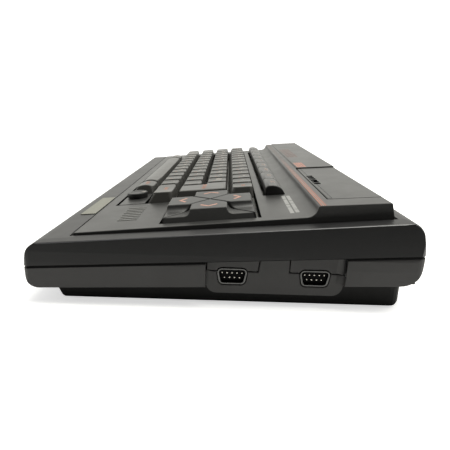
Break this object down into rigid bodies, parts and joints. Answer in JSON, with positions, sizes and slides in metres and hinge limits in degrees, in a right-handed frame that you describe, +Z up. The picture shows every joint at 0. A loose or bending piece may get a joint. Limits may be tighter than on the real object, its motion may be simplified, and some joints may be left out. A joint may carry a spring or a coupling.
{
  "type": "vintage home computer",
  "caption": "Wedge-shaped home computer with a full keyboard, arched function keys, a square cursor-key block, a flat rotary knob, a cartridge flap and joystick ports.",
  "frame": {"origin": "middle of the footprint, at the underside of the feet", "axes": "+X to the user's right along the keyboard, -Y towards the user, +Z up"},
  "size_m": [0.368, 0.22, 0.0623],
  "materials": {
    "case_top": "fine even grain, slight sheen at a low angle",
    "case_panel": "fine even grain, slight sheen at a low angle",
    "case_bottom": "fine even grain",
    "plate_metal": "brushed, plain",
    "rubber": "matte",
    "screw_steel": "bright zinc",
    "frame_steel": "zinc-plated sheet",
    "mat_rubber": "matte pale grey",
    "board": "green lacquer",
    "board_brown": "plain brown laminate",
    "chip": "dull black",
    "can": "blue sleeve",
    "black_plastic": "dull black",
    "pin_steel": "ground",
    "spring_steel": "bright wire",
    "shell_tin": "tinned",
    "contact_gold": "thin gold flash",
    "core_iron": "varnished",
    "fin_aluminium": "bare",
    "jack_metal": "plated",
    "pot_metal": "plated",
    "knob_black": "dull black",
    "keycap": "fine grain, slight sheen",
    "fn_cap": "smooth, slight gloss"
  },
  "bodies": {
    "console": {"top_case": "case_top", "keyboard_panel": "case_panel", "bottom_case": "case_bottom", "name_plate": "plate_metal", "rubber_feet": "rubber", "case_screws": "screw_steel", "keyboard_screws": "screw_steel", "keyboard_frame": "frame_steel", "dome_mat": "mat_rubber", "keyboard_board": "board", "main_board": "board", "chips": "chip", "capacitors": "can", "cartridge_connector": "black_plastic", "flap_pin": "pin_steel", "port_shells": "shell_tin", "port_inserts": "black_plastic", "port_pins": "contact_gold", "transformer": "core_iron", "power_board": "board_brown", "heat_sink": "fin_aluminium", "power_inlet": "black_plastic", "switch_body": "black_plastic", "phono_jacks": "jack_metal", "round_sockets": "black_plastic", "printer_connector": "black_plastic", "knob_base": "case_panel", "knob_pot": "pot_metal", "board_screws": "screw_steel"},
    "rotary_knob": {"rotary_knob": "knob_black"},
    "cartridge_flap": {"cartridge_flap": "case_panel", "flap_spring": "spring_steel"},
    "power_rocker": {"power_rocker": "black_plastic"},
    "cursor_up_key": {"cursor_up_key": "keycap"},
    "cursor_down_key": {"cursor_down_key": "keycap"},
    "cursor_left_key": {"cursor_left_key": "keycap"},
    "cursor_right_key": {"cursor_right_key": "keycap"},
    "space_bar": {"space_bar": "keycap"},
    "return_key": {"return_key": "keycap"},
    "backspace_key": {"backspace_key": "keycap"},
    "right_shift_key": {"right_shift_key": "keycap"},
    "left_shift_key": {"left_shift_key": "keycap"},
    "tab_key": {"tab_key": "keycap"},
    "control_key": {"control_key": "keycap"},
    "code_key": {"code_key": "keycap"},
    "graph_key": {"graph_key": "keycap"},
    "number_keys": {"number_keys": "keycap"},
    "upper_letter_keys": {"upper_letter_keys": "keycap"},
    "home_letter_keys": {"home_letter_keys": "keycap"},
    "lower_letter_keys": {"lower_letter_keys": "keycap"},
    "function_key_1": {"function_key_1": "fn_cap"},
    "function_key_2": {"function_key_2": "fn_cap"},
    "function_key_3": {"function_key_3": "fn_cap"},
    "function_key_4": {"function_key_4": "fn_cap"},
    "function_key_5": {"function_key_5": "fn_cap"},
    "function_key_6": {"function_key_6": "fn_cap"},
    "function_key_7": {"function_key_7": "fn_cap"},
    "function_key_8": {"function_key_8": "fn_cap"},
    "function_key_9": {"function_key_9": "fn_cap"}
  },
  "joints": [
    {"name": "knob_turn", "type": "hinge", "parent": "console", "child": "rotary_knob", "pos_m": [0.08886, -0.06708, 0.04137], "axis": [0, -0.0985, 0.9951], "range_deg": [-280, 0]},
    {"name": "flap_swing", "type": "hinge", "parent": "console", "child": "cartridge_flap", "pos_m": [0.0998, 0.0852, 0.05606], "axis": [1, 0, 0], "range_deg": [0, 62], "stiffness_Nm_per_rad": 0.006, "springref_deg": -40.11},
    {"name": "rocker_tilt", "type": "hinge", "parent": "console", "child": "power_rocker", "pos_m": [-0.09, 0.105, 0.0243], "axis": [0, 0, 1], "range_deg": [-17, 0]},
    {"name": "cursor_up_key_press", "type": "slide", "parent": "console", "child": "cursor_up_key", "axis": [0, 0.0985, -0.9951], "range_m": [0, 0.0035], "stiffness_N_per_m": 200, "springref_m": -0.0015},
    {"name": "cursor_down_key_press", "type": "slide", "parent": "console", "child": "cursor_down_key", "axis": [0, 0.0985, -0.9951], "range_m": [0, 0.0035], "stiffness_N_per_m": 200, "springref_m": -0.0015},
    {"name": "cursor_left_key_press", "type": "slide", "parent": "console", "child": "cursor_left_key", "axis": [0, 0.0985, -0.9951], "range_m": [0, 0.0035], "stiffness_N_per_m": 200, "springref_m": -0.0015},
    {"name": "cursor_right_key_press", "type": "slide", "parent": "console", "child": "cursor_right_key", "axis": [0, 0.0985, -0.9951], "range_m": [0, 0.0035], "stiffness_N_per_m": 200, "springref_m": -0.0015},
    {"name": "space_bar_press", "type": "slide", "parent": "console", "child": "space_bar", "axis": [0, 0.0985, -0.9951], "range_m": [0, 0.0035], "stiffness_N_per_m": 400, "springref_m": -0.0015},
    {"name": "return_key_press", "type": "slide", "parent": "console", "child": "return_key", "axis": [0, 0.0985, -0.9951], "range_m": [0, 0.0035], "stiffness_N_per_m": 250, "springref_m": -0.0015},
    {"name": "backspace_key_press", "type": "slide", "parent": "console", "child": "backspace_key", "axis": [0, 0.0985, -0.9951], "range_m": [0, 0.0035], "stiffness_N_per_m": 200, "springref_m": -0.0015},
    {"name": "right_shift_key_press", "type": "slide", "parent": "console", "child": "right_shift_key", "axis": [0, 0.0985, -0.9951], "range_m": [0, 0.0035], "stiffness_N_per_m": 200, "springref_m": -0.0015},
    {"name": "left_shift_key_press", "type": "slide", "parent": "console", "child": "left_shift_key", "axis": [0, 0.0985, -0.9951], "range_m": [0, 0.0035], "stiffness_N_per_m": 200, "springref_m": -0.0015},
    {"name": "tab_key_press", "type": "slide", "parent": "console", "child": "tab_key", "axis": [0, 0.0985, -0.9951], "range_m": [0, 0.0035], "stiffness_N_per_m": 200, "springref_m": -0.0015},
    {"name": "control_key_press", "type": "slide", "parent": "console", "child": "control_key", "axis": [0, 0.0985, -0.9951], "range_m": [0, 0.0035], "stiffness_N_per_m": 200, "springref_m": -0.0015},
    {"name": "code_key_press", "type": "slide", "parent": "console", "child": "code_key", "axis": [0, 0.0985, -0.9951], "range_m": [0, 0.0035], "stiffness_N_per_m": 200, "springref_m": -0.0015},
    {"name": "graph_key_press", "type": "slide", "parent": "console", "child": "graph_key", "axis": [0, 0.0985, -0.9951], "range_m": [0, 0.0035], "stiffness_N_per_m": 200, "springref_m": -0.0015},
    {"name": "number_keys_press", "type": "slide", "parent": "console", "child": "number_keys", "axis": [0, 0.0985, -0.9951], "range_m": [0, 0.0035], "stiffness_N_per_m": 1600, "springref_m": -0.0015},
    {"name": "upper_letter_keys_press", "type": "slide", "parent": "console", "child": "upper_letter_keys", "axis": [0, 0.0985, -0.9951], "range_m": [0, 0.0035], "stiffness_N_per_m": 1600, "springref_m": -0.0015},
    {"name": "home_letter_keys_press", "type": "slide", "parent": "console", "child": "home_letter_keys", "axis": [0, 0.0985, -0.9951], "range_m": [0, 0.0035], "stiffness_N_per_m": 1600, "springref_m": -0.0015},
    {"name": "lower_letter_keys_press", "type": "slide", "parent": "console", "child": "lower_letter_keys", "axis": [0, 0.0985, -0.9951], "range_m": [0, 0.0035], "stiffness_N_per_m": 1600, "springref_m": -0.0015},
    {"name": "function_key_1_press", "type": "slide", "parent": "console", "child": "function_key_1", "axis": [0, 0.0985, -0.9951], "range_m": [0, 0.0035], "stiffness_N_per_m": 200, "springref_m": -0.0015},
    {"name": "function_key_2_press", "type": "slide", "parent": "console", "child": "function_key_2", "axis": [0, 0.0985, -0.9951], "range_m": [0, 0.0035], "stiffness_N_per_m": 200, "springref_m": -0.0015},
    {"name": "function_key_3_press", "type": "slide", "parent": "console", "child": "function_key_3", "axis": [0, 0.0985, -0.9951], "range_m": [0, 0.0035], "stiffness_N_per_m": 200, "springref_m": -0.0015},
    {"name": "function_key_4_press", "type": "slide", "parent": "console", "child": "function_key_4", "axis": [0, 0.0985, -0.9951], "range_m": [0, 0.0035], "stiffness_N_per_m": 200, "springref_m": -0.0015},
    {"name": "function_key_5_press", "type": "slide", "parent": "console", "child": "function_key_5", "axis": [0, 0.0985, -0.9951], "range_m": [0, 0.0035], "stiffness_N_per_m": 200, "springref_m": -0.0015},
    {"name": "function_key_6_press", "type": "slide", "parent": "console", "child": "function_key_6", "axis": [0, 0.0985, -0.9951], "range_m": [0, 0.0035], "stiffness_N_per_m": 200, "springref_m": -0.0015},
    {"name": "function_key_7_press", "type": "slide", "parent": "console", "child": "function_key_7", "axis": [0, 0.0985, -0.9951], "range_m": [0, 0.0035], "stiffness_N_per_m": 200, "springref_m": -0.0015},
    {"name": "function_key_8_press", "type": "slide", "parent": "console", "child": "function_key_8", "axis": [0, 0.0985, -0.9951], "range_m": [0, 0.0035], "stiffness_N_per_m": 200, "springref_m": -0.0015},
    {"name": "function_key_9_press", "type": "slide", "parent": "console", "child": "function_key_9", "axis": [0, 0.0985, -0.9951], "range_m": [0, 0.0035], "stiffness_N_per_m": 200, "springref_m": -0.0015}
  ]
}
